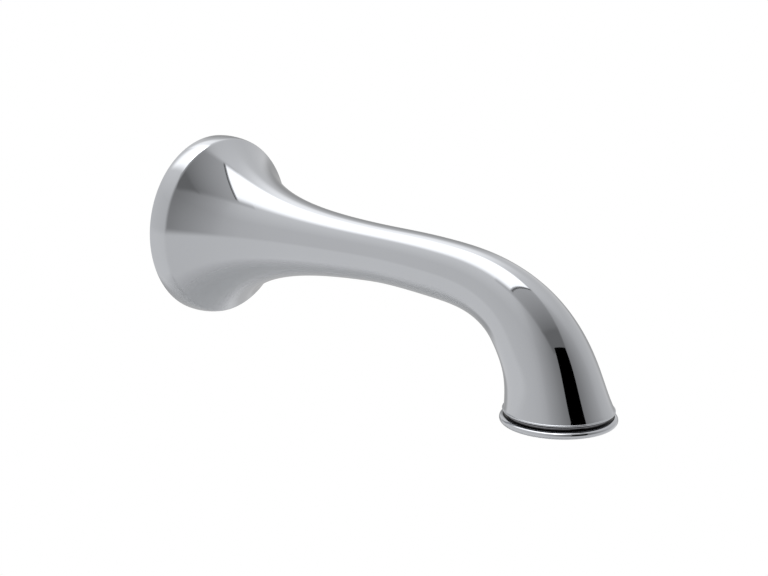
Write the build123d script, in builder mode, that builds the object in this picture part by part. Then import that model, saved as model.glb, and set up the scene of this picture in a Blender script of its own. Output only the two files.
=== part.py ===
from build123d import *
from math import cos, exp, radians, sin
import os

# Wall-mounted bath spout, cast in brass in one piece and chrome plated.
# Millimetres. The wall is the plane Y = 0, the spout runs out from it along -Y, and +Z is up.
# "out" is a distance from the wall and "up" a height over the axis of the flange.

# Flange: a round rim against the wall, slightly crowned, with a soft front edge
flange_radius = 35.0
rim_width = 7.66
rim_crown = 1.06
rim_edge_round = 0.8
rim_wall = 4.0

# Trumpet: the flange runs down to the neck as a dying exponential
neck_base_radius = 9.83
trumpet_decay = 23.0
trumpet_steps = 10
neck_out = 82.0

# Bend: its centre line as (out, up), then the radius as (distance along the centre line, radius)
bend_points = [(112.0, -1.3), (134.0, -5.3), (150.0, -15.2), (160.0, -30.1)]
bend_end_angle = -76.0
swell_points = [(106.0, 10.85), (128.0, 11.3), (148.0, 13.1), (166.0, 15.9)]
swell_end_slope = 0.27
level_start = 0.57
bend_sections = 13

# Mouth: a level circle that carries a bead, a groove and a lip
mouth_out = 163.6
mouth_up = -42.6
mouth_radius = 18.95
bead_radius = 19.5
groove_radius = 18.0
lip_radius = 20.45
shoulder_radius = 19.25
bead_height = 1.05
groove_height = 1.65
lip_height = 2.5
mouth_edge_round = 0.8

# Waterway, and the boss in the open back of the flange that takes a half-inch pipe thread
wall = 2.8
trumpet_wall = 4.0
recess_depth = 26.0
recess_round = 1.0
boss_radius = 13.8
boss_out = 6.0
thread_radius = 10.5
thread_length = 18.0
bore_radius = 9.0

# The side view, with out along its first axis and up along its second
SIDE = Plane(origin=(0, 0, 0), x_dir=(0, -1, 0), z_dir=(-1, 0, 0))
DOWN = Vector(0, 0, -1)

front_radius = flange_radius - rim_crown
thread_end = boss_out + thread_length
bead_end = mouth_up - bead_height
lip_start = bead_end - groove_height
lip_end = lip_start - lip_height
mouth_axis = Axis((0, -mouth_out, 0), (0, 0, 1))


def trumpet_radius(out):
    """Outside radius of the trumpet at a distance from the wall."""
    fall = exp(-(out - rim_width) / trumpet_decay)
    return neck_base_radius + (front_radius - neck_base_radius) * fall


def trumpet_slope(out):
    """Change of the trumpet's radius for each millimetre out from the wall."""
    return -(trumpet_radius(out) - neck_base_radius) / trumpet_decay


def trumpet_line(start, end, inset):
    """Points and end directions of the trumpet's outline, moved in by inset."""
    outs = [start + (end - start) * i / trumpet_steps for i in range(trumpet_steps + 1)]
    points = [(out, trumpet_radius(out) - inset) for out in outs]
    return points, [(1, trumpet_slope(start)), (1, trumpet_slope(end))]


neck_radius = trumpet_radius(neck_out)

with BuildLine(SIDE):
    centre_line = Spline(
        [(neck_out, 0), *bend_points, (mouth_out, mouth_up)],
        tangents=[(1, 0), (cos(radians(bend_end_angle)), sin(radians(bend_end_angle)))],
    )
bend_length = centre_line.length

# The bend's outline as it would be with the centre line pulled straight
with BuildLine():
    swell = Spline(
        [(neck_out, neck_radius), *swell_points, (neck_out + bend_length, mouth_radius)],
        tangents=[(1, trumpet_slope(neck_out)), (1, swell_end_slope)],
    )


def bend_section(share):
    """Plane and radius of a round section: square to the centre line, and level by the mouth."""
    unrolled = swell @ share
    distance = unrolled.X - neck_out
    flow = centre_line.tangent_at(distance, PositionMode.LENGTH)
    rise = max(0.0, (distance / bend_length - level_start) / (1 - level_start))
    level = rise * rise * (3 - 2 * rise)
    plane = Plane(
        origin=centre_line.position_at(distance, PositionMode.LENGTH),
        x_dir=(1, 0, 0),
        z_dir=flow * (1 - level) + DOWN * level,
    )
    return plane, unrolled.Y


sections = [bend_section(i / (bend_sections - 1)) for i in range(bend_sections)]

# The waterway: threaded inlet, neck, bend and mouth
with BuildPart() as waterway:
    with BuildSketch(SIDE):
        with BuildLine():
            Polyline(
                (boss_out, 0),
                (boss_out, thread_radius),
                (thread_end, thread_radius),
                (thread_end, bore_radius),
                (neck_out, neck_radius - wall),
                (neck_out, 0),
                close=True,
            )
        make_face()
    revolve(axis=Axis.Y)
    for plane, radius in sections:
        with BuildSketch(plane):
            Circle(radius - wall)
    loft()
    with BuildSketch(Plane.XY.offset(mouth_up)):
        with Locations((0, -mouth_out)):
            Circle(mouth_radius - wall)
    extrude(amount=lip_end - mouth_up)

# The hollow behind the flange, around the inlet boss
with BuildPart() as recess:
    with BuildSketch(SIDE) as recess_section:
        with BuildLine():
            inner_line, inner_ends = trumpet_line(rim_width, recess_depth, trumpet_wall)
            Line((0, 0), (0, flange_radius - rim_wall))
            Line((0, flange_radius - rim_wall), inner_line[0])
            Spline(inner_line, tangents=inner_ends)
            Polyline(
                inner_line[-1],
                (recess_depth, boss_radius),
                (boss_out, boss_radius),
                (boss_out, 0),
                (0, 0),
            )
        make_face()
        fillet(recess_section.vertices().group_by(Axis.X)[-1], recess_round)
    revolve(axis=Axis.Y)

# The casting: flange, trumpet and neck turned about the flange's axis, then the bend, then the lip
with BuildPart() as spout:
    with BuildSketch(SIDE) as flange_section:
        with BuildLine():
            outer_line, outer_ends = trumpet_line(rim_width, neck_out, 0)
            Line((0, 0), (0, flange_radius))
            TangentArc((0, flange_radius), (rim_width, front_radius), tangent=(1, 0))
            Spline(outer_line, tangents=outer_ends)
            Polyline(outer_line[-1], (neck_out, 0), (0, 0))
        make_face()
        fillet(flange_section.vertices().sort_by_distance((rim_width, front_radius))[0], rim_edge_round)
    revolve(axis=Axis.Y)
    for plane, radius in sections:
        with BuildSketch(plane):
            Circle(radius)
    loft()
    with BuildSketch(SIDE):
        with BuildLine():
            mouth_edge = mouth_out + mouth_radius
            shoulder = mouth_out + shoulder_radius
            Line((mouth_out, mouth_up), (mouth_edge, mouth_up))
            ThreePointArc(
                (mouth_edge, mouth_up),
                (mouth_out + bead_radius, mouth_up - bead_height / 2),
                (shoulder, bead_end),
            )
            ThreePointArc(
                (shoulder, bead_end),
                (mouth_out + groove_radius, bead_end - groove_height / 2),
                (shoulder, lip_start),
            )
            ThreePointArc(
                (shoulder, lip_start),
                (mouth_out + lip_radius, lip_start - lip_height / 2),
                (shoulder, lip_end),
            )
            Polyline((shoulder, lip_end), (mouth_out, lip_end), (mouth_out, mouth_up))
        make_face()
    revolve(axis=mouth_axis)
    add(recess.part, mode=Mode.SUBTRACT)
    add(waterway.part, mode=Mode.SUBTRACT)
    mouth_edges = spout.edges().filter_by(GeomType.CIRCLE).group_by(Axis.Z)[0]
    fillet(mouth_edges.sort_by(SortBy.RADIUS)[0], mouth_edge_round)

spout.part.label = "spout_body"

os.makedirs("parts", exist_ok=True)
export_step(spout.part, "parts/spout_body.step")
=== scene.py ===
"""Looks of a wall-mounted bath spout: one brass casting, chrome plated, in a soft studio."""

import logging
import math
from dataclasses import dataclass, field
from enum import Enum

import bmesh
import bpy
import numpy as np
from mathutils import Matrix, Vector


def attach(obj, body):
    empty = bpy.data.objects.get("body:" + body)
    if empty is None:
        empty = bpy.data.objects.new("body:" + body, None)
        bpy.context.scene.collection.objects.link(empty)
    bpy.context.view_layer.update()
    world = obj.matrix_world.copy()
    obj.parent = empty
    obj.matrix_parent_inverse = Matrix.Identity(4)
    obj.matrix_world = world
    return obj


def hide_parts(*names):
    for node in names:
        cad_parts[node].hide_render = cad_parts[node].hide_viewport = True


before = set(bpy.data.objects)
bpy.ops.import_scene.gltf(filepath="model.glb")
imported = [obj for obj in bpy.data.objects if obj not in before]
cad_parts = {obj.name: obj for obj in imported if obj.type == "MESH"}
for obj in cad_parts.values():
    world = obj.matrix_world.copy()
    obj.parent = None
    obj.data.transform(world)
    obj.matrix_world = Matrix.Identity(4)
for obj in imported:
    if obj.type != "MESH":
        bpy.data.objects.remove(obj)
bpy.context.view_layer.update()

BODY = "root"
NODE = "spout_body"

OUT = Vector((0.0, -1.0, 0.0))
DOWN = Vector((0.0, 0.0, -1.0))
SIDEWAYS = Vector((1.0, 0.0, 0.0))

# Most of a noise texture's values lie in this span.
NOISE_SPAN = (0.3, 0.7)
# At a scale of 1, a wave texture turns through this many radians for each unit of length.
WAVE_TURN = 20.0

Pair = tuple[float, float]
Triple = tuple[float, float, float]

logging.basicConfig(level=logging.INFO, format="%(name)s: %(message)s")
log = logging.getLogger("bath_spout")


class Metal(Enum):
    """The finishes of the casting, and the shade painted into its mouth's groove, in the order of its
    material slots.
    """

    # All of the outside, and the inside of the mouth
    CHROME = 0
    # The waterway and the hollow behind the flange
    CAST = 1
    # The wall face, the boss and the thread
    TURNED = 2
    # The groove around the mouth, with shade painted down it: grey at its top, nearly black at its bottom
    STARVED = 3


class Stand(Enum):
    """How a studio panel is set up: the directions of its width and of its height."""

    # On the ceiling, a little askew to the wall
    OVERHEAD = (0.9792, -0.2028, 0.0), (0.2028, 0.9792, 0.0)
    # In front of the spout and parallel to the wall, turned 13 degrees in its own plane
    LEANING = (0.9744, 0.0, -0.2250), (0.2250, 0.0, 0.9744)
    # Behind the spout, across the camera's line of sight
    ACROSS = (0.6224, -0.7827, 0.0), (0.0, 0.0, 1.0)
    # Flat and low, square to the wall
    LYING = (1.0, 0.0, 0.0), (0.0, 1.0, 0.0)

    def turn(self) -> Matrix:
        """Returns the rotation that takes a panel from the ground to its stand."""
        across, along = (Vector(way) for way in self.value)
        return Matrix((across, along, across.cross(along))).transposed().to_4x4()


def linear(code: str) -> tuple[float, float, float, float]:
    """Turns an sRGB hex colour into Blender's linear colour.

    Args:
        code: The colour as #RRGGBB.

    Returns:
        Linear red, green, blue and an alpha of 1.
    """
    shares = [int(code[i:i + 2], 16) / 255 for i in (1, 3, 5)]
    return *(s / 12.92 if s <= 0.04045 else ((s + 0.055) / 1.055) ** 2.4 for s in shares), 1.0


def add_node(
    tree: bpy.types.NodeTree, kind: str, inputs: dict[str | int, object] | None = None, **settings: object,
) -> bpy.types.Node:
    """Adds one node with its settings, values and links.

    Args:
        tree: The node tree that takes the node.
        kind: The node's Blender type name.
        inputs: Values or output sockets, by the name or number of the input that takes them.
        settings: The node's own properties.

    Returns:
        The new node.
    """
    node = tree.nodes.new(kind)
    for name, value in settings.items():
        setattr(node, name, value)
    for name, value in (inputs or {}).items():
        if isinstance(value, bpy.types.NodeSocket):
            tree.links.new(value, node.inputs[name])
        else:
            node.inputs[name].default_value = value
    return node


def new_material(name: str) -> tuple[bpy.types.Material, bpy.types.NodeTree, bpy.types.NodeSocket]:
    """Makes a material whose tree holds only the object's own coordinates.

    Args:
        name: The material's name.

    Returns:
        The material, its tree and the socket of the coordinates.
    """
    material = bpy.data.materials.new(name)
    material.use_nodes = True
    tree = material.node_tree
    tree.nodes.clear()
    return material, tree, add_node(tree, "ShaderNodeTexCoord").outputs["Object"]


def end_metal(
    tree: bpy.types.NodeTree, pattern: bpy.types.NodeSocket, colours: tuple[str, str],
    sockets: dict[str | int, object],
) -> None:
    """Ends a metal's tree: two colours mixed by a pattern, on a metallic shader.

    Args:
        tree: The material's tree.
        pattern: The share of the second colour.
        colours: The two hex colours.
        sockets: The shader's roughness, and its normal where it has a bump.
    """
    colour = add_node(
        tree, "ShaderNodeMix", {"Factor": pattern, "A": linear(colours[0]), "B": linear(colours[1])},
        data_type="RGBA",
    )
    shader = add_node(
        tree, "ShaderNodeBsdfPrincipled",
        {"Base Color": colour.outputs["Result"], "Metallic": 1.0, **sockets},
    )
    add_node(tree, "ShaderNodeOutputMaterial", {"Surface": shader.outputs["BSDF"]})


def new_object(name: str, mesh: bmesh.types.BMesh) -> bpy.types.Object:
    """Makes an object of a finished mesh and links it to the scene.

    Args:
        name: The object's name.
        mesh: Its shape, which is freed.

    Returns:
        The object, at the origin and without a material.
    """
    data = bpy.data.meshes.new(name)
    mesh.to_mesh(data)
    mesh.free()
    thing = bpy.data.objects.new(name, data)
    bpy.context.scene.collection.objects.link(thing)
    return thing


@dataclass(frozen=True)
class ChromePlate:
    """Bright chromium on buffed brass: a cool grey mirror, a little uneven where the wheel passed."""

    colours: tuple[str, str] = ("#C3C5C9", "#C0C2C6")
    roughness: Pair = (0.025, 0.05)
    # The wheel leaves clouds about 18 mm wide, and waves 16 mm long and 0.002 mm high.
    cloud_size: float = 0.018
    cloud_detail: float = 3.0
    ripple_size: float = 0.016
    ripple_detail: float = 1.0
    ripple_height: float = 0.000002
    ripple_strength: float = 1.0

    def material(self) -> bpy.types.Material:
        """Makes the plated finish, with the buffing wheel's clouds and faint ripple.

        Returns:
            The material.
        """
        material, tree, place = new_material("chromium_plate_buffed")
        cloud = add_node(
            tree, "ShaderNodeTexNoise",
            {"Vector": place, "Scale": 1 / self.cloud_size, "Detail": self.cloud_detail},
        )
        ripple = add_node(
            tree, "ShaderNodeTexNoise",
            {"Vector": place, "Scale": 1 / self.ripple_size, "Detail": self.ripple_detail},
        )
        gloss = add_node(
            tree, "ShaderNodeMapRange",
            {"Value": cloud.outputs["Fac"], "From Min": NOISE_SPAN[0], "From Max": NOISE_SPAN[1],
             "To Min": self.roughness[0], "To Max": self.roughness[1]},
        )
        bump = add_node(
            tree, "ShaderNodeBump",
            {"Height": ripple.outputs["Fac"], "Strength": self.ripple_strength,
             "Distance": self.ripple_height},
        )
        end_metal(
            tree, cloud.outputs["Fac"], self.colours,
            {"Roughness": gloss.outputs["Result"], "Normal": bump.outputs["Normal"]},
        )
        return material


@dataclass(frozen=True)
class CastBrass:
    """Sand-cast brass as it left the mould: dull, grainy and blotched brown."""

    colours: tuple[str, str] = ("#C8A067", "#94703F")
    roughness: Pair = (0.42, 0.68)
    # The blotches are about 12 mm across.
    blotch_size: float = 0.012
    blotch_detail: float = 5.0
    # The sand's grains are about 0.25 mm; they are drawn at 0.9 mm so that they show.
    grain_size: float = 0.0009
    grain_detail: float = 4.0
    grain_height: float = 0.00012
    grain_strength: float = 0.8

    def material(self) -> bpy.types.Material:
        """Makes the rough finish of the waterway and the hollow behind the flange.

        Returns:
            The material.
        """
        material, tree, place = new_material("brass_sand_cast")
        blotch = add_node(
            tree, "ShaderNodeTexNoise",
            {"Vector": place, "Scale": 1 / self.blotch_size, "Detail": self.blotch_detail},
        )
        grain = add_node(
            tree, "ShaderNodeTexNoise",
            {"Vector": place, "Scale": 1 / self.grain_size, "Detail": self.grain_detail},
        )
        gloss = add_node(
            tree, "ShaderNodeMapRange",
            {"Value": blotch.outputs["Fac"], "From Min": NOISE_SPAN[0], "From Max": NOISE_SPAN[1],
             "To Min": self.roughness[0], "To Max": self.roughness[1]},
        )
        bump = add_node(
            tree, "ShaderNodeBump",
            {"Height": grain.outputs["Fac"], "Strength": self.grain_strength, "Distance": self.grain_height},
        )
        end_metal(
            tree, blotch.outputs["Fac"], self.colours,
            {"Roughness": gloss.outputs["Result"], "Normal": bump.outputs["Normal"]},
        )
        return material


@dataclass(frozen=True)
class TurnedBrass:
    """Brass fresh from the lathe: bright yellow, with the tool's fine rings about the flange's axis."""

    colours: tuple[str, str] = ("#E8CA8C", "#D6B06C")
    roughness: float = 0.28
    # The tool's feed is about 0.15 mm; it is drawn at 0.5 mm so that it shows.
    feed: float = 0.0005
    ring_height: float = 0.000012
    ring_strength: float = 0.6
    ring_waver: float = 0.6
    ring_detail: float = 2.0

    def material(self) -> bpy.types.Material:
        """Makes the machined finish of the wall face, the boss and the thread.

        Returns:
            The material.
        """
        material, tree, place = new_material("brass_turned")
        rings = add_node(
            tree, "ShaderNodeTexWave",
            {"Vector": place, "Scale": math.tau / (WAVE_TURN * self.feed), "Distortion": self.ring_waver,
             "Detail": self.ring_detail},
            wave_type="RINGS", rings_direction="Y",
        )
        bump = add_node(
            tree, "ShaderNodeBump",
            {"Height": rings.outputs["Fac"], "Strength": self.ring_strength, "Distance": self.ring_height},
        )
        end_metal(
            tree, rings.outputs["Fac"], self.colours,
            {"Roughness": self.roughness, "Normal": bump.outputs["Normal"]},
        )
        return material


@dataclass(frozen=True)
class PaintedGrooveShade:
    """Painted shade down the mouth's groove: grey at its top and nearly black at its bottom."""

    top: float
    bottom: float
    # Painted shade, from grey at the groove's top to nearly black at its bottom
    colours: tuple[str, str] = ("#A4A4A8", "#0C0C0D")
    roughness: float = 0.14
    # The painted shade's edge strays by up to 0.2 mm, in waves of about 1.5 mm.
    shade_edge_size: float = 0.0015
    shade_edge_detail: float = 3.0
    shade_edge_reach: float = 0.0002

    def material(self) -> bpy.types.Material:
        """Makes the painted shade that darkens down the groove, with a slightly ragged edge.

        Returns:
            The material.
        """
        material, tree, place = new_material("groove_painted_shade")
        height = add_node(tree, "ShaderNodeSeparateXYZ", {"Vector": place}).outputs["Z"]
        shade_edge_noise = add_node(
            tree, "ShaderNodeTexNoise",
            {"Vector": place, "Scale": 1 / self.shade_edge_size, "Detail": self.shade_edge_detail},
        )
        ragged = add_node(
            tree, "ShaderNodeMath", {0: shade_edge_noise.outputs["Fac"], 1: self.shade_edge_reach, 2: height},
            operation="MULTIPLY_ADD",
        )
        depth = add_node(
            tree, "ShaderNodeMapRange",
            {"Value": ragged.outputs["Value"], "From Min": self.top, "From Max": self.bottom},
        )
        end_metal(tree, depth.outputs["Result"], self.colours, {"Roughness": self.roughness})
        return material


class SmoothLine:
    """A smooth line through a few points, with a set direction at each end."""

    SAMPLES = 600

    def __init__(self, points: list[Pair], start: Pair, end: Pair) -> None:
        """Fits the line.

        Args:
            points: The points it runs through, in order.
            start: Its direction at the first point.
            end: Its direction at the last point.
        """
        knots = np.array(points)
        spans = np.linalg.norm(np.diff(knots, axis=0), axis=1)
        slopes = self._slopes(knots, spans, np.array(start), np.array(end))
        share = np.linspace(0.0, 1.0, self.SAMPLES)[:, None]
        rest = 1.0 - share
        places, courses = [], []
        for i, span in enumerate(spans):
            # Four corners pull this stretch into a cubic curve.
            near, far = knots[i], knots[i + 1]
            leave = near + slopes[i] * span / 3
            reach = far - slopes[i + 1] * span / 3
            places.append(
                rest**3 * near + 3 * rest**2 * share * leave + 3 * rest * share**2 * reach + share**3 * far
            )
            courses.append(
                rest**2 * (leave - near) + 2 * rest * share * (reach - leave) + share**2 * (far - reach)
            )
        self.places = np.concatenate(places)
        self.courses = np.concatenate(courses)
        self.courses /= np.linalg.norm(self.courses, axis=1)[:, None]
        steps = np.linalg.norm(np.diff(self.places, axis=0), axis=1)
        self.distances = np.concatenate([[0.0], np.cumsum(steps)])

    @property
    def length(self) -> float:
        """The line's length."""
        return float(self.distances[-1])

    @staticmethod
    def _slopes(knots: np.ndarray, spans: np.ndarray, start: np.ndarray, end: np.ndarray) -> np.ndarray:
        """Finds the direction at each point that lets the line bend evenly through it.

        Args:
            knots: The points.
            spans: The distance from each point to the next.
            start: The direction at the first point.
            end: The direction at the last point.

        Returns:
            One direction for each point.
        """
        count = len(knots)
        matrix = np.eye(count)
        wanted = np.zeros_like(knots)
        wanted[0] = start / np.linalg.norm(start)
        wanted[-1] = end / np.linalg.norm(end)
        for i in range(1, count - 1):
            before, after = 1 / spans[i - 1], 1 / spans[i]
            matrix[i, i - 1:i + 2] = before, 2 * (before + after), after
            wanted[i] = 3 * ((knots[i] - knots[i - 1]) * before**2 + (knots[i + 1] - knots[i]) * after**2)
        return np.linalg.solve(matrix, wanted)

    def at(self, distance: float) -> tuple[np.ndarray, np.ndarray]:
        """Finds the point and the direction at a distance along the line.

        Args:
            distance: The distance from the line's start.

        Returns:
            The point, then the direction there.
        """
        place = [np.interp(distance, self.distances, column) for column in self.places.T]
        course = [np.interp(distance, self.distances, column) for column in self.courses.T]
        return np.array(place), np.array(course)

    def height_over(self, across: float) -> float:
        """Returns the second coordinate where the first one has a value."""
        return float(np.interp(across, self.places[:, 0], self.places[:, 1]))


@dataclass(frozen=True)
class Ring:
    """A round section of the casting, and the finish of the surface that leads up to it.

    Its edge is the width that it is rounded over, or 0 where it stays as it is.
    """

    centre: Vector
    facing: Vector
    radius: float
    metal: Metal
    edge: float = 0.0
    threaded: bool = False

    def matrix(self) -> Matrix:
        """Works out how a unit circle gets to this section.

        Returns:
            The matrix that scales, turns and moves it there.
        """
        facing = self.facing.normalized()
        upright = facing.cross(SIDEWAYS)
        turn = Matrix((SIDEWAYS, upright, facing)).transposed().to_4x4()
        size = Matrix.Diagonal((self.radius, self.radius, 1.0, 1.0))
        return Matrix.Translation(self.centre) @ turn @ size


@dataclass
class SpoutCasting:
    """The one-piece casting: flange, trumpet, neck, bend and lipped mouth, hollow throughout.

    Lengths are metres. "out" is a distance from the wall, and "up" a height over the flange's axis.
    """

    name: str = "bath_spout"

    # Flange: a rim crowned about a crest near the wall, with a soft front edge
    flange_radius: float = 0.035
    rim_width: float = 0.0078
    rim_crown: float = 0.00075
    rim_crest_out: float = 0.0024
    rim_edge_round: float = 0.0025
    rim_wall: float = 0.004

    # Trumpet: the flange runs down to the neck as a dying exponential
    neck_base_radius: float = 0.00983
    trumpet_decay: float = 0.0226
    neck_out: float = 0.082

    # Bend: its centre line as (out, up), its radius as (distance along the spout, radius), and the share of
    # its length after which its sections turn level
    bend_points: tuple[Pair, ...] = ((0.112, -0.0013), (0.134, -0.0053), (0.150, -0.0152), (0.160, -0.0301))
    bend_end_angle: float = -76.0
    swell_points: tuple[Pair, ...] = ((0.106, 0.01085), (0.128, 0.0113), (0.148, 0.0131), (0.166, 0.0159))
    swell_end_slope: float = 0.27
    level_start: float = 0.57

    # Mouth: a bead, a groove with painted shade and a lip with a sloped top. The painted shade darkens down
    # the groove between two margins, each a share of its height.
    mouth_out: float = 0.1636
    mouth_up: float = -0.0426
    mouth_radius: float = 0.01895
    bead_radius: float = 0.0195
    bead_height: float = 0.00105
    bead_drop: float = 0.0004
    groove_radius: float = 0.0180
    groove_height: float = 0.00165
    groove_shade_margin: float = 0.25
    shoulder_radius: float = 0.01925
    lip_radius: float = 0.02045
    lip_height: float = 0.0025
    lip_slope_radius: float = 0.0202
    lip_slope_drop: float = 0.0005
    lip_slope_bulge: float = 0.00004
    mouth_edge_round: float = 0.0008

    # Inside: the waterway, and the boss in the hollow of the flange
    wall: float = 0.0028
    trumpet_wall: float = 0.004
    recess_depth: float = 0.026
    boss_radius: float = 0.0138
    boss_out: float = 0.006
    bore_radius: float = 0.009

    # Half-inch pipe thread, which fades out over a run of pitches at each end
    thread_radius: float = 0.0105
    thread_length: float = 0.018
    thread_pitch: float = 0.001814
    thread_depth: float = 0.00116
    thread_run_out: float = 1.5

    # Mesh: how finely each stretch is divided
    segments: int = 128
    fine_step: float = 0.0007
    coarse_step: float = 0.002
    arc_steps: int = 10
    lip_steps: int = 16
    thread_steps: int = 8
    soft_edge: float = 0.0003
    crisp_edge: float = 0.00005
    edge_segments: int = 4

    rings: list[Ring] = field(default_factory=list, init=False)
    centre_line: SmoothLine = field(init=False)
    swell: SmoothLine = field(init=False)

    def __post_init__(self) -> None:
        """Works out the lines that the bend follows."""
        turn = math.radians(self.bend_end_angle)
        self.centre_line = SmoothLine(
            [(self.neck_out, 0.0), *self.bend_points, (self.mouth_out, self.mouth_up)],
            (1.0, 0.0), (math.cos(turn), math.sin(turn)),
        )
        neck_radius = self.trumpet_radius(self.neck_out)
        slope = -(neck_radius - self.neck_base_radius) / self.trumpet_decay
        bend_end = self.neck_out + self.centre_line.length
        self.swell = SmoothLine(
            [(self.neck_out, neck_radius), *self.swell_points, (bend_end, self.mouth_radius)],
            (1.0, slope), (1.0, self.swell_end_slope),
        )

    @property
    def front_radius(self) -> float:
        """Radius of the rim's front corner."""
        return self.flange_radius - self.rim_crown

    @property
    def thread_end(self) -> float:
        """How far out the thread ends."""
        return self.boss_out + self.thread_length

    @property
    def bead_end(self) -> float:
        """Height of the bead's foot."""
        return self.mouth_up - self.bead_height

    @property
    def lip_start(self) -> float:
        """Height of the groove's foot, where the lip starts."""
        return self.bead_end - self.groove_height

    @property
    def lip_end(self) -> float:
        """Height of the lip's foot."""
        return self.lip_start - self.lip_height

    def trumpet_radius(self, out: float) -> float:
        """Returns the trumpet's outside radius at a distance from the wall."""
        fall = math.exp(-(out - self.rim_width) / self.trumpet_decay)
        return self.neck_base_radius + (self.front_radius - self.neck_base_radius) * fall

    def turned(
        self, out: float, radius: float, metal: Metal, edge: float = 0.0, threaded: bool = False,
    ) -> None:
        """Adds a ring about the flange's axis."""
        self.rings.append(Ring(OUT * out, OUT, radius, metal, edge, threaded))

    def level(self, up: float, radius: float, metal: Metal, edge: float = 0.0) -> None:
        """Adds a level ring about the mouth's axis."""
        centre = OUT * self.mouth_out - DOWN * up
        self.rings.append(Ring(centre, DOWN, radius, metal, edge))

    def bent(self, distance: float, inset: float, metal: Metal) -> None:
        """Adds a ring square to the bend's centre line, and level by the mouth.

        Args:
            distance: How far along the centre line it lies.
            inset: How far it lies inside the bend's outer surface.
            metal: The finish that leads up to it.
        """
        place, course = self.centre_line.at(distance)
        rise = max(0.0, (distance / self.centre_line.length - self.level_start) / (1 - self.level_start))
        share = rise * rise * (3 - 2 * rise)
        flow = OUT * course[0] - DOWN * course[1]
        centre = OUT * place[0] - DOWN * place[1]
        radius = self.swell.height_over(self.neck_out + distance) - inset
        self.rings.append(Ring(centre, flow.lerp(DOWN, share), radius, metal))

    @staticmethod
    def steps(start: float, end: float, step: float) -> list[float]:
        """Returns even values from just after the start up to the end, about a step apart."""
        count = max(1, round(abs(end - start) / step))
        return [start + (end - start) * (i + 1) / count for i in range(count)]

    @staticmethod
    def arc(first: Pair, middle: Pair, last: Pair, count: int) -> list[Pair]:
        """Finds points on the round arc through three points.

        Args:
            first: The arc's start, which isn't returned.
            middle: A point on the arc.
            last: The arc's end.
            count: The number of points.

        Returns:
            The points after the start, up to the end.
        """
        # As complex numbers, the three points give the circle's centre in one step.
        a, b, c = (complex(*point) for point in (first, middle, last))
        w = (c - a) / (b - a)
        centre = (b - a) * (w - abs(w) ** 2) / (2j * w.imag) + a
        turn = np.angle((b - centre) / (a - centre)) + np.angle((c - centre) / (b - centre))
        points = [centre + (a - centre) * np.exp(1j * turn * (i + 1) / count) for i in range(count)]
        return [(point.real, point.imag) for point in points]

    def outline_flange(self) -> None:
        """Adds the wall face, the crowned rim and the trumpet down to the neck."""
        # The crown is an arc whose angle is counted from its crest: below 0 by the wall, over 0 in front.
        front_width = self.rim_width - self.rim_crest_out
        front_angle = 2 * math.atan2(self.rim_crown, front_width)
        crown = front_width / math.sin(front_angle)
        wall_angle = -math.asin(self.rim_crest_out / crown)
        back_radius = self.flange_radius - crown * (1 - math.cos(wall_angle))
        inner_radius = self.flange_radius - self.rim_wall
        self.turned(0.0, inner_radius, Metal.TURNED, self.soft_edge)
        for radius in self.steps(inner_radius, back_radius, self.coarse_step):
            at_rim = math.isclose(radius, back_radius)
            self.turned(0.0, radius, Metal.TURNED, self.soft_edge if at_rim else 0.0)
        # The front corner's rounding starts and ends a reach away from the corner.
        fall = math.atan2(self.front_radius - self.neck_base_radius, self.trumpet_decay)
        reach = self.rim_edge_round * math.tan((fall - front_angle) / 2)
        round_start = front_angle - reach / crown
        for angle in self.steps(wall_angle, round_start, (round_start - wall_angle) / self.arc_steps):
            radius = self.flange_radius - crown * (1 - math.cos(angle))
            self.turned(self.rim_crest_out + crown * math.sin(angle), radius, Metal.CHROME)
        first = np.array((self.rings[-1].centre.dot(OUT), self.rings[-1].radius))
        corner = np.array((self.rim_width, self.front_radius))
        round_end = self.rim_width + reach * math.cos(fall)
        last = np.array((round_end, self.trumpet_radius(round_end)))
        for share in self.steps(0.0, 1.0, 1 / self.lip_steps):
            rest = 1 - share
            out, radius = rest**2 * first + 2 * rest * share * corner + share**2 * last
            self.turned(out, radius, Metal.CHROME)
        for out in self.steps(round_end, self.neck_out, self.fine_step):
            self.turned(out, self.trumpet_radius(out), Metal.CHROME)

    def outline_mouth(self) -> None:
        """Adds the bend, then the bead, groove and lip around the mouth."""
        for distance in self.steps(0.0, self.centre_line.length, self.fine_step):
            self.bent(distance, 0.0, Metal.CHROME)
        bead = (self.mouth_radius + self.swell_end_slope * self.bead_drop, self.mouth_up - self.bead_drop)
        self.level(bead[1], bead[0], Metal.CHROME, self.crisp_edge)
        over = (self.shoulder_radius, self.bead_end)
        under = (self.shoulder_radius, self.lip_start)
        slope = (self.lip_slope_radius, self.lip_start - self.lip_slope_drop)
        foot = (self.shoulder_radius, self.lip_end)
        bulge = [(a + b) / 2 + self.lip_slope_bulge for a, b in zip(under, slope)]
        arcs = (
            (bead, (self.bead_radius, (bead[1] + over[1]) / 2), over, Metal.CHROME),
            # The groove's faces take the painted shade
            (over, (self.groove_radius, (over[1] + under[1]) / 2), under, Metal.STARVED),
            (under, bulge, slope, Metal.CHROME),
            (slope, (self.lip_radius, (under[1] + foot[1]) / 2), foot, Metal.CHROME),
        )
        for first, middle, last, metal in arcs:
            for radius, up in self.arc(first, middle, last, self.lip_steps):
                self.level(up, radius, metal)
        inner = self.mouth_radius - self.wall
        for radius in self.steps(self.shoulder_radius, inner, self.coarse_step):
            at_edge = math.isclose(radius, inner)
            self.level(self.lip_end, radius, Metal.CHROME, self.mouth_edge_round if at_edge else 0.0)

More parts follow.
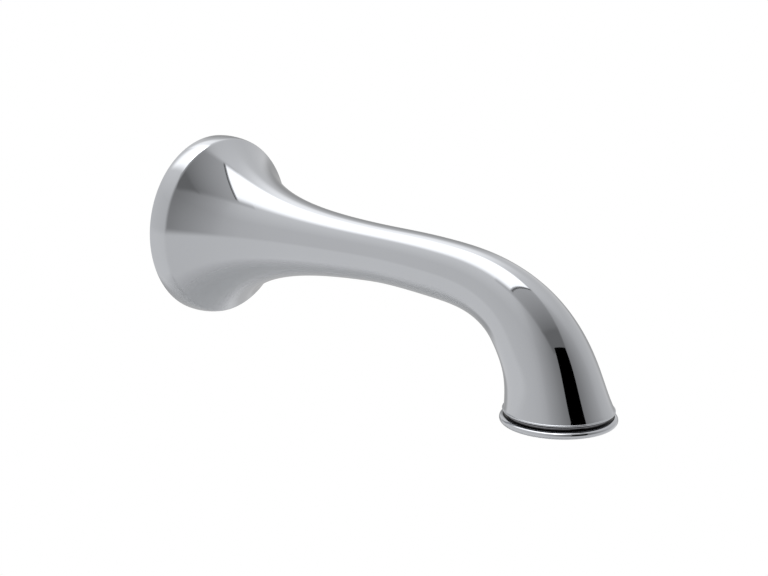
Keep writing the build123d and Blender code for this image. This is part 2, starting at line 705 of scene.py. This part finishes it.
    def outline_waterway(self) -> None:
        """Adds the inside, from the mouth back to the end of the inlet thread."""
        inner = self.mouth_radius - self.wall
        for up in self.steps(self.lip_end, self.mouth_up, self.coarse_step):
            self.level(up, inner, Metal.CHROME)
        for distance in self.steps(self.centre_line.length, 0.0, self.coarse_step):
            self.bent(distance, self.wall, Metal.CAST)
        neck_bore = self.trumpet_radius(self.neck_out) - self.wall
        for out in self.steps(self.neck_out, self.thread_end, self.coarse_step):
            share = (out - self.thread_end) / (self.neck_out - self.thread_end)
            self.turned(out, self.bore_radius + (neck_bore - self.bore_radius) * share, Metal.CAST)

    def outline_inlet(self) -> None:
        """Adds the threaded inlet, its boss and the hollow of the flange around it."""
        self.turned(self.thread_end, self.thread_radius, Metal.TURNED)
        for out in self.steps(self.thread_end, self.boss_out, self.thread_pitch / self.thread_steps):
            self.turned(out, self.thread_radius, Metal.TURNED, threaded=True)
        for radius in self.steps(self.thread_radius, self.boss_radius, self.coarse_step):
            at_edge = math.isclose(radius, self.boss_radius)
            self.turned(self.boss_out, radius, Metal.TURNED, self.soft_edge if at_edge else 0.0)
        for out in self.steps(self.boss_out, self.recess_depth, self.coarse_step):
            self.turned(out, self.boss_radius, Metal.CAST)
        floor_radius = self.trumpet_radius(self.recess_depth) - self.trumpet_wall
        for radius in self.steps(self.boss_radius, floor_radius, self.coarse_step):
            self.turned(self.recess_depth, radius, Metal.CAST)
        for out in self.steps(self.recess_depth, self.rim_width, self.coarse_step):
            self.turned(out, self.trumpet_radius(out) - self.trumpet_wall, Metal.CAST)
        # The last stretch runs on to the first ring, so it stops a step before the wall.
        brim = self.flange_radius - self.rim_wall
        start = self.front_radius - self.trumpet_wall
        for out in self.steps(self.rim_width, 0.0, self.coarse_step)[:-1]:
            self.turned(out, brim + (start - brim) * (out / self.rim_width), Metal.CAST)

    def sweep(self, mesh: bmesh.types.BMesh) -> list[list[bmesh.types.BMEdge]]:
        """Draws a circle from ring to ring and joins the last ring to the first.

        Args:
            mesh: The empty mesh that takes the casting.

        Returns:
            The edges of each ring, in the order of the rings.
        """
        bmesh.ops.create_circle(mesh, segments=self.segments, radius=1.0, matrix=self.rings[0].matrix())
        loops = [list(mesh.edges)]
        for before, ring in zip(self.rings, self.rings[1:]):
            made = bmesh.ops.extrude_edge_only(mesh, edges=loops[-1])["geom"]
            verts = [part for part in made if isinstance(part, bmesh.types.BMVert)]
            for part in made:
                if isinstance(part, bmesh.types.BMFace):
                    part.material_index = ring.metal.value
            bmesh.ops.transform(mesh, matrix=ring.matrix() @ before.matrix().inverted(), verts=verts)
            ends = set(verts)
            edges = [edge for vert in verts for edge in vert.link_edges if edge.other_vert(vert) in ends]
            loops.append(list(dict.fromkeys(edges)))
        for face in bmesh.ops.bridge_loops(mesh, edges=loops[0] + loops[-1])["faces"]:
            face.material_index = Metal.CAST.value
        return loops

    def cut_thread(self, loops: list[list[bmesh.types.BMEdge]]) -> None:
        """Raises the right-hand pipe thread out of the inlet's wall.

        Args:
            loops: The edges of each ring, in the order of the rings.
        """
        for ring, loop in zip(self.rings, loops):
            if not ring.threaded:
                continue
            out = ring.centre.dot(OUT)
            run = min(out - self.boss_out, self.thread_end - out) / (self.thread_run_out * self.thread_pitch)
            depth = self.thread_depth * min(1.0, max(0.0, run))
            for vert in {vert for edge in loop for vert in edge.verts}:
                angle = math.atan2(vert.co.z, vert.co.x)
                crest = 0.5 + 0.5 * math.cos(math.tau * out / self.thread_pitch - angle)
                share = 1.0 - depth * crest / self.thread_radius
                vert.co.x *= share
                vert.co.z *= share

    def build(self) -> bpy.types.Object:
        """Sweeps the casting along its outline, cuts its thread and rounds its edges.

        Returns:
            The finished casting.
        """
        self.outline_flange()
        self.outline_mouth()
        self.outline_waterway()
        self.outline_inlet()
        mesh = bmesh.new()
        loops = self.sweep(mesh)
        self.cut_thread(loops)
        for ring, loop in zip(self.rings, loops):
            if ring.edge:
                bmesh.ops.bevel(
                    mesh, geom=loop, offset=ring.edge, offset_type="OFFSET", segments=self.edge_segments,
                    profile=0.5, affect="EDGES", material=-1, clamp_overlap=True,
                )
        bmesh.ops.recalc_face_normals(mesh, faces=mesh.faces)
        for face in mesh.faces:
            face.smooth = True
        return new_object(self.name, mesh)

    def dress(self, piece: bpy.types.Object) -> None:
        """Gives the casting its finishes and the groove's painted shade, in the order that Metal names them.

        Args:
            piece: The finished casting.
        """
        margin = self.groove_shade_margin * self.groove_height
        finishes = {
            Metal.CHROME: ChromePlate(),
            Metal.CAST: CastBrass(),
            Metal.TURNED: TurnedBrass(),
            # The groove's painted shade darkens between these two heights
            Metal.STARVED: PaintedGrooveShade(top=self.bead_end - margin, bottom=self.lip_start + margin),
        }
        for metal in Metal:
            piece.data.materials.append(finishes[metal].material())
        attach(piece, BODY)
        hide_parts(NODE)


@dataclass(frozen=True)
class Flat:
    """A soft-edged studio panel that the metal sees and the camera doesn't.

    Its size is its width and height. Its levels are those at its foot and its head. Its feathers run in from
    the left, right, foot and head.
    """

    name: str
    stand: Stand
    centre: Triple
    size: Pair
    levels: Pair
    feathers: tuple[float, float, float, float]

    def material(self) -> bpy.types.Material:
        """Makes a glow that changes from foot to head and fades out over the panel's edges.

        Returns:
            The material.
        """
        material, tree, place = new_material(self.name)
        right, head = self.size[0] / 2, self.size[1] / 2
        axes = add_node(tree, "ShaderNodeSeparateXYZ", {"Vector": place}).outputs
        sides = (("X", -right), ("X", right), ("Y", -head), ("Y", head))
        cover: bpy.types.NodeSocket | float = 1.0
        for (axis, edge), feather in zip(sides, self.feathers):
            mask = add_node(
                tree, "ShaderNodeMapRange",
                {"Value": axes[axis], "From Min": edge, "From Max": edge + math.copysign(feather, -edge)},
                interpolation_type="SMOOTHSTEP",
            )
            cover = add_node(
                tree, "ShaderNodeMath", {0: cover, 1: mask.outputs["Result"]}, operation="MULTIPLY",
            ).outputs["Value"]
        level = add_node(
            tree, "ShaderNodeMapRange",
            {"Value": axes["Y"], "From Min": -head, "From Max": head,
             "To Min": self.levels[0], "To Max": self.levels[1]},
        )
        clear = add_node(tree, "ShaderNodeBsdfTransparent")
        glow = add_node(tree, "ShaderNodeEmission", {"Strength": level.outputs["Result"]})
        panel = add_node(
            tree, "ShaderNodeMixShader", {0: cover, 1: clear.outputs["BSDF"], 2: glow.outputs["Emission"]},
        )
        add_node(tree, "ShaderNodeOutputMaterial", {"Surface": panel.outputs["Shader"]})
        return material

    def build(self) -> bpy.types.Object:
        """Stands the panel in the studio, out of the camera's sight.

        Returns:
            The panel.
        """
        mesh = bmesh.new()
        shape = Matrix.Diagonal((self.size[0] / 2, self.size[1] / 2, 1.0, 1.0))
        bmesh.ops.create_grid(mesh, x_segments=1, y_segments=1, size=1.0, matrix=shape)
        panel = new_object(self.name, mesh)
        panel.data.materials.append(self.material())
        panel.matrix_world = Matrix.Translation(self.centre) @ self.stand.turn()
        panel.visible_camera = False
        return panel


@dataclass(frozen=True)
class Tent:
    """The pale walls around the set: dim in front of the spout, lighter behind it and below the horizon.

    Spans are shares of a direction: to the front, from -1 behind to 1 ahead, or upwards, from -1 to 1.
    """

    name: str = "studio_tent"
    radius: float = 9.0
    subdivisions: int = 4
    front: Triple = (-0.259, -0.966, 0.0)
    # Each wall's share to the front, and its level
    walls: tuple[Pair, ...] = (
        (-1.0, 0.86), (-0.42, 0.775), (0.02, 0.735), (0.26, 0.70), (0.44, 0.64),
        (0.57, 0.55), (0.72, 0.467), (0.82, 0.405), (0.91, 0.33), (1.0, 0.25),
    )
    # The walls grow brighter upwards, by this gain.
    ceiling_gain: float = 1.22
    ceiling_span: Pair = (0.5, 0.95)
    # Below the horizon the level falls from the back to the front, and once more straight down.
    horizon_span: Pair = (-0.16, -0.01)
    low_levels: Pair = (0.86, 0.77)
    low_span: Pair = (-0.4, 0.9)
    nadir_level: float = 0.60
    nadir_span: Pair = (-1.0, -0.75)

    def material(self) -> bpy.types.Material:
        """Makes a glow that depends on the direction from the middle of the set.

        Returns:
            The material.
        """
        material, tree, place = new_material(self.name)
        course = add_node(tree, "ShaderNodeVectorMath", {0: place}, operation="NORMALIZE").outputs["Vector"]
        up = add_node(tree, "ShaderNodeSeparateXYZ", {"Vector": course}).outputs["Z"]
        flat = add_node(tree, "ShaderNodeVectorMath", {0: course, 1: (1.0, 1.0, 0.0)}, operation="MULTIPLY")
        flat = add_node(tree, "ShaderNodeVectorMath", {0: flat.outputs["Vector"]}, operation="NORMALIZE")
        ahead = add_node(
            tree, "ShaderNodeVectorMath", {0: flat.outputs["Vector"], 1: self.front}, operation="DOT_PRODUCT",
        ).outputs["Value"]
        share = add_node(tree, "ShaderNodeMapRange", {"Value": ahead, "From Min": -1.0, "From Max": 1.0})
        ramp = add_node(tree, "ShaderNodeValToRGB", {"Fac": share.outputs["Result"]})
        stops = ramp.color_ramp.elements
        while len(stops) < len(self.walls):
            stops.new(1.0)
        for stop, (side, level) in zip(stops, self.walls):
            stop.position = (side + 1) / 2
            stop.color = (level, level, level, 1.0)
        gain = add_node(
            tree, "ShaderNodeMapRange",
            {"Value": up, "From Min": self.ceiling_span[0], "From Max": self.ceiling_span[1],
             "To Min": 1.0, "To Max": self.ceiling_gain},
        )
        wall = add_node(
            tree, "ShaderNodeMath", {0: ramp.outputs["Color"], 1: gain.outputs["Result"]},
            operation="MULTIPLY",
        )
        foot = add_node(
            tree, "ShaderNodeMapRange",
            {"Value": ahead, "From Min": self.low_span[0], "From Max": self.low_span[1],
             "To Min": self.low_levels[0], "To Max": self.low_levels[1]},
        )
        low = add_node(
            tree, "ShaderNodeMapRange",
            {"Value": up, "From Min": self.nadir_span[0], "From Max": self.nadir_span[1],
             "To Min": self.nadir_level, "To Max": foot.outputs["Result"]},
        )
        over = add_node(
            tree, "ShaderNodeMapRange",
            {"Value": up, "From Min": self.horizon_span[0], "From Max": self.horizon_span[1]},
            interpolation_type="SMOOTHSTEP",
        )
        level = add_node(
            tree, "ShaderNodeMix",
            {"Factor": over.outputs["Result"], "A": low.outputs["Result"], "B": wall.outputs["Value"]},
        )
        glow = add_node(tree, "ShaderNodeEmission", {"Strength": level.outputs["Result"]})
        add_node(tree, "ShaderNodeOutputMaterial", {"Surface": glow.outputs["Emission"]})
        return material

    def build(self) -> bpy.types.Object:
        """Hangs the tent, out of the camera's sight.

        Returns:
            The tent.
        """
        mesh = bmesh.new()
        bmesh.ops.create_icosphere(mesh, subdivisions=self.subdivisions, radius=self.radius)
        tent = new_object(self.name, mesh)
        tent.data.materials.append(self.material())
        tent.visible_camera = False
        return tent


@dataclass(frozen=True)
class Floor:
    """A pale matt floor below the spout, which fades out from its middle to its edge."""

    name: str = "studio_floor"
    centre: Triple = (0.03, 0.02, -0.33)
    radius: float = 0.34
    segments: int = 96
    colour: str = "#CECFCF"

    def material(self) -> bpy.types.Material:
        """Makes the matt paint, which is clear at the floor's edge and from below.

        Returns:
            The material.
        """
        material, tree, place = new_material("studio_floor_matt")
        reach = add_node(tree, "ShaderNodeVectorMath", {0: place}, operation="LENGTH")
        mask = add_node(
            tree, "ShaderNodeMapRange",
            {"Value": reach.outputs["Value"], "From Min": 0.0, "From Max": self.radius,
             "To Min": 1.0, "To Max": 0.0},
            interpolation_type="SMOOTHSTEP",
        )
        back = add_node(tree, "ShaderNodeNewGeometry").outputs["Backfacing"]
        shown = add_node(
            tree, "ShaderNodeMath", {0: mask.outputs["Result"], 1: back},
            operation="SUBTRACT", use_clamp=True,
        )
        clear = add_node(tree, "ShaderNodeBsdfTransparent")
        matt = add_node(tree, "ShaderNodeBsdfDiffuse", {"Color": linear(self.colour)})
        surface = add_node(
            tree, "ShaderNodeMixShader",
            {0: shown.outputs["Value"], 1: clear.outputs["BSDF"], 2: matt.outputs["BSDF"]},
        )
        add_node(tree, "ShaderNodeOutputMaterial", {"Surface": surface.outputs["Shader"]})
        return material

    def build(self) -> bpy.types.Object:
        """Lays the floor, which takes the spout's soft shadow.

        Returns:
            The floor.
        """
        mesh = bmesh.new()
        bmesh.ops.create_circle(mesh, segments=self.segments, radius=self.radius, cap_ends=True)
        floor = new_object(self.name, mesh)
        floor.data.materials.append(self.material())
        floor.location = self.centre
        return floor


@dataclass(frozen=True)
class Studio:
    """A softbox overhead, grey and black cards in front, a grey backdrop behind and a white background."""

    white: str = "#FFFFFF"
    ambient: float = 0.8
    background: float = 1.0
    tent: Tent = Tent()
    floor: Floor = Floor()
    flats: tuple[Flat, ...] = (
        # The softbox, with light spilling to its right, a hot core and a dark frame along its front
        Flat(
            "overhead_softbox", Stand.OVERHEAD, centre=(0.432, 2.158, 4.0), size=(3.87, 5.5),
            levels=(1.85, 1.85), feathers=(1.04, 0.44, 0.04, 1.8),
        ),
        Flat(
            "softbox_glow", Stand.OVERHEAD, centre=(3.43, 2.29, 4.02), size=(3.8, 5.8),
            levels=(1.5, 1.5), feathers=(0.3, 2.8, 3.2, 1.6),
        ),
        Flat(
            "softbox_core", Stand.OVERHEAD, centre=(0.67, 1.02, 3.95), size=(2.2, 3.0),
            levels=(4.5, 2.5), feathers=(0.6, 0.6, 0.15, 0.8),
        ),
        Flat(
            "softbox_rim", Stand.OVERHEAD, centre=(-0.033, -0.632, 3.97), size=(3.6, 0.12),
            levels=(0.14, 0.14), feathers=(0.3, 0.3, 0.04, 0.04),
        ),
        # Grey cards before the softbox, which darken towards the front
        Flat(
            "overhead_grey", Stand.OVERHEAD, centre=(-0.51, -1.70, 4.05), size=(4.64, 4.0),
            levels=(0.21, 0.68), feathers=(0.8, 0.56, 0.5, 0.1),
        ),
        Flat(
            "overhead_dark", Stand.OVERHEAD, centre=(-1.06, -4.34, 4.1), size=(4.64, 2.6),
            levels=(0.21, 0.21), feathers=(0.8, 0.56, 0.3, 0.3),
        ),
        # The black card that the bend mirrors as a crisp stripe
        Flat(
            "front_black", Stand.LEANING, centre=(-1.16, -4.16, 1.63), size=(2.64, 3.56),
            levels=(0.0, 0.0), feathers=(0.03, 0.03, 0.03, 0.03),
        ),
        # The backdrop, wide at its foot, and the shade that lies before it
        Flat(
            "backdrop_low", Stand.ACROSS, centre=(1.72, 1.28, -0.4), size=(4.6, 1.6),
            levels=(0.52, 0.36), feathers=(1.3, 1.3, 0.3, 0.6),
        ),
        Flat(
            "backdrop_tall", Stand.ACROSS, centre=(1.74, 1.30, 0.65), size=(1.5, 2.1),
            levels=(0.40, 0.45), feathers=(0.5, 0.5, 0.6, 1.3),
        ),
        Flat(
            "floor_shade", Stand.LYING, centre=(0.60, 0.70, -0.62), size=(1.6, 1.1),
            levels=(0.66, 0.42), feathers=(0.3, 0.6, 0.2, 0.4),
        ),
    )

    def world(self) -> bpy.types.World:
        """Makes the world: white to the camera, metal and glass, and a softer light on matt surfaces.

        Returns:
            The world.
        """
        world = bpy.data.worlds.new("white_background")
        world.use_nodes = True
        tree = world.node_tree
        tree.nodes.clear()
        rays = add_node(tree, "ShaderNodeLightPath").outputs
        seen = rays["Is Camera Ray"]
        for kind in ("Is Glossy Ray", "Is Transmission Ray"):
            both = add_node(tree, "ShaderNodeMath", {0: seen, 1: rays[kind]}, operation="MAXIMUM")
            seen = both.outputs["Value"]
        light, white = (
            add_node(tree, "ShaderNodeBackground", {"Color": linear(self.white), "Strength": strength})
            for strength in (self.ambient, self.background)
        )
        mixed = add_node(
            tree, "ShaderNodeMixShader",
            {0: seen, 1: light.outputs["Background"], 2: white.outputs["Background"]},
        )
        add_node(tree, "ShaderNodeOutputWorld", {"Surface": mixed.outputs["Shader"]})
        return world

    def build(self) -> None:
        """Sets up the world, the tent, the floor and the panels."""
        bpy.context.scene.world = self.world()
        for part in (self.tent, self.floor, *self.flats):
            log.info("staged %s", part.build().name)


@dataclass(frozen=True)
class PhotoCamera:
    """The camera at the photograph's viewing angle. Angles are degrees."""

    name: str = "photo_camera"
    azimuth: float = -51.5147
    elevation: float = 14.1008
    roll: float = 0.27
    distance: float = 0.66316
    aim: Triple = (0.0373, -0.0569, -0.0248)
    lens: float = 78.3246
    sensor_width: float = 36.0
    clip_start: float = 0.01

    def build(self) -> None:
        """Makes the camera and hands it to the scene."""
        data = bpy.data.cameras.new(self.name)
        data.lens = self.lens
        data.sensor_width = self.sensor_width
        data.sensor_fit = "HORIZONTAL"
        data.clip_start = self.clip_start
        camera = bpy.data.objects.new(self.name, data)
        turn = Matrix.Rotation(math.radians(self.azimuth), 4, "Z")
        tilt = Matrix.Rotation(math.radians(90.0 - self.elevation), 4, "X")
        twist = Matrix.Rotation(math.radians(self.roll), 4, "Z")
        back = Matrix.Translation((0.0, 0.0, self.distance))
        camera.matrix_world = Matrix.Translation(self.aim) @ turn @ tilt @ twist @ back
        bpy.context.scene.collection.objects.link(camera)
        bpy.context.scene.camera = camera
        log.info("camera at %s", tuple(round(x, 4) for x in camera.matrix_world.translation))


def main() -> None:
    """Builds the casting, the studio and the camera."""
    scene = bpy.context.scene
    scene.view_settings.view_transform = "Standard"
    casting = SpoutCasting()
    piece = casting.build()
    casting.dress(piece)
    log.info("%s: %d faces from %d rings", piece.name, len(piece.data.polygons), len(casting.rings))
    Studio().build()
    PhotoCamera().build()


if __name__ == "__main__":
    main()
